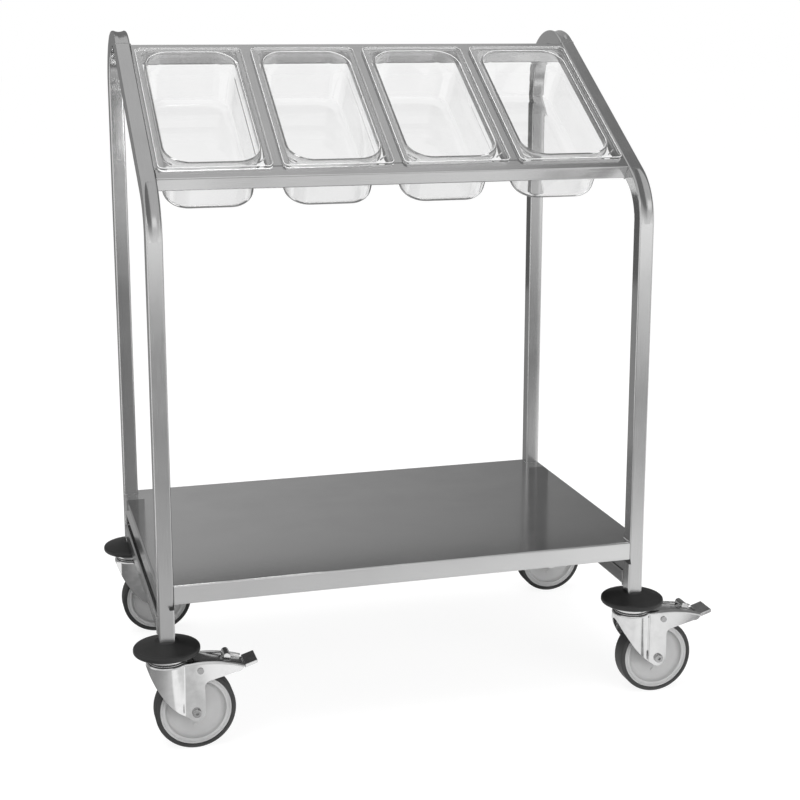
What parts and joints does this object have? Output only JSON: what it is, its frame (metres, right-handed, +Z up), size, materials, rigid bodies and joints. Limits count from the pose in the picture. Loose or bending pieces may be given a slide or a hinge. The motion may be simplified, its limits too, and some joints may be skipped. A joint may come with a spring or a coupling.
{
  "type": "tray and cutlery trolley",
  "caption": "Stainless steel serving trolley with a bent square-tube frame, a sloping row of clear lift-out pans, a lower shelf, and bumpered swivel castors, the front ones with foot brakes.",
  "frame": {"origin": "on the floor under the middle of the whole trolley's box", "axes": "+Z up, the low front edge of the slope faces -Y, +X to the right seen from the front"},
  "size_m": [0.974, 0.5992, 1.1038],
  "materials": {
    "frame_steel": "satin polished",
    "shelf_steel": "satin polished",
    "pan_clear": "clear moulded",
    "bumper_rubber": "matt",
    "tyre_rubber": "matt",
    "wheel_plastic": "matt moulded",
    "castor_steel": "zinc plated",
    "fastener_steel": "zinc plated",
    "shoe_rubber": "matt"
  },
  "bodies": {
    "trolley": {"back_left_bumper": "bumper_rubber", "back_left_swivel_cap": "castor_steel", "back_rail": "frame_steel", "back_right_bumper": "bumper_rubber", "back_right_swivel_cap": "castor_steel", "castor_bolts": "fastener_steel", "divider_1": "frame_steel", "divider_2": "frame_steel", "divider_3": "frame_steel", "front_left_bumper": "bumper_rubber", "front_left_swivel_cap": "castor_steel", "front_rail": "frame_steel", "front_right_bumper": "bumper_rubber", "front_right_swivel_cap": "castor_steel", "left_back_tube": "frame_steel", "left_front_tube": "frame_steel", "left_ledge": "frame_steel", "left_side_rail": "frame_steel", "leg_inserts": "fastener_steel", "right_back_tube": "frame_steel", "right_front_tube": "frame_steel", "right_ledge": "frame_steel", "right_side_rail": "frame_steel", "shelf": "shelf_steel"},
    "pan_1": {"pan_1": "pan_clear"},
    "pan_2": {"pan_2": "pan_clear"},
    "pan_3": {"pan_3": "pan_clear"},
    "pan_4": {"pan_4": "pan_clear"},
    "castor_front_left": {"front_left_fork": "castor_steel", "front_left_axle_bolt": "fastener_steel", "front_left_axle_nut": "fastener_steel", "front_left_axle_sleeve": "fastener_steel", "front_left_pedal_pivot": "fastener_steel"},
    "wheel_front_left": {"front_left_wheel_centre": "wheel_plastic", "front_left_tyre": "tyre_rubber"},
    "brake_front_left": {"front_left_pedal": "castor_steel", "front_left_brake_shoe": "shoe_rubber"},
    "castor_front_right": {"front_right_fork": "castor_steel", "front_right_axle_bolt": "fastener_steel", "front_right_axle_nut": "fastener_steel", "front_right_axle_sleeve": "fastener_steel", "front_right_pedal_pivot": "fastener_steel"},
    "wheel_front_right": {"front_right_wheel_centre": "wheel_plastic", "front_right_tyre": "tyre_rubber"},
    "brake_front_right": {"front_right_pedal": "castor_steel", "front_right_brake_shoe": "shoe_rubber"},
    "castor_back_left": {"back_left_fork": "castor_steel", "back_left_axle_bolt": "fastener_steel", "back_left_axle_nut": "fastener_steel", "back_left_axle_sleeve": "fastener_steel"},
    "wheel_back_left": {"back_left_wheel_centre": "wheel_plastic", "back_left_tyre": "tyre_rubber"},
    "castor_back_right": {"back_right_fork": "castor_steel", "back_right_axle_bolt": "fastener_steel", "back_right_axle_nut": "fastener_steel", "back_right_axle_sleeve": "fastener_steel"},
    "wheel_back_right": {"back_right_wheel_centre": "wheel_plastic", "back_right_tyre": "tyre_rubber"}
  },
  "joints": [
    {"name": "pan_1_lift", "type": "slide", "parent": "trolley", "child": "pan_1", "axis": [0, -0.5329, 0.8462], "range_m": [0, 0.12]},
    {"name": "pan_2_lift", "type": "slide", "parent": "trolley", "child": "pan_2", "axis": [0, -0.5329, 0.8462], "range_m": [0, 0.12]},
    {"name": "pan_3_lift", "type": "slide", "parent": "trolley", "child": "pan_3", "axis": [0, -0.5329, 0.8462], "range_m": [0, 0.12]},
    {"name": "pan_4_lift", "type": "slide", "parent": "trolley", "child": "pan_4", "axis": [0, -0.5329, 0.8462], "range_m": [0, 0.12]},
    {"name": "front_left_swivel", "type": "hinge", "parent": "trolley", "child": "castor_front_left", "pos_m": [-0.435, -0.24757, 0.147], "axis": [0, 0, 1], "continuous": true},
    {"name": "front_left_roll", "type": "hinge", "parent": "castor_front_left", "child": "wheel_front_left", "pos_m": [-0.394, -0.24757, 0.0635], "axis": [0, 1, 0], "continuous": true},
    {"name": "front_left_brake", "type": "hinge", "parent": "castor_front_left", "child": "brake_front_left", "pos_m": [-0.3865, -0.24757, 0.132], "axis": [0, 1, 0], "range_deg": [0, 10]},
    {"name": "front_right_swivel", "type": "hinge", "parent": "trolley", "child": "castor_front_right", "pos_m": [0.348, -0.24757, 0.147], "axis": [0, 0, 1], "continuous": true},
    {"name": "front_right_roll", "type": "hinge", "parent": "castor_front_right", "child": "wheel_front_right", "pos_m": [0.389, -0.24757, 0.0635], "axis": [0, 1, 0], "continuous": true},
    {"name": "front_right_brake", "type": "hinge", "parent": "castor_front_right", "child": "brake_front_right", "pos_m": [0.3965, -0.24757, 0.132], "axis": [0, 1, 0], "range_deg": [0, 10]},
    {"name": "back_left_swivel", "type": "hinge", "parent": "trolley", "child": "castor_back_left", "pos_m": [-0.435, 0.24757, 0.147], "axis": [0, 0, 1], "continuous": true},
    {"name": "back_left_roll", "type": "hinge", "parent": "castor_back_left", "child": "wheel_back_left", "pos_m": [-0.394, 0.24757, 0.0635], "axis": [0, 1, 0], "continuous": true},
    {"name": "back_right_swivel", "type": "hinge", "parent": "trolley", "child": "castor_back_right", "pos_m": [0.348, 0.24757, 0.147], "axis": [0, 0, 1], "continuous": true},
    {"name": "back_right_roll", "type": "hinge", "parent": "castor_back_right", "child": "wheel_back_right", "pos_m": [0.389, 0.24757, 0.0635], "axis": [0, 1, 0], "continuous": true}
  ]
}
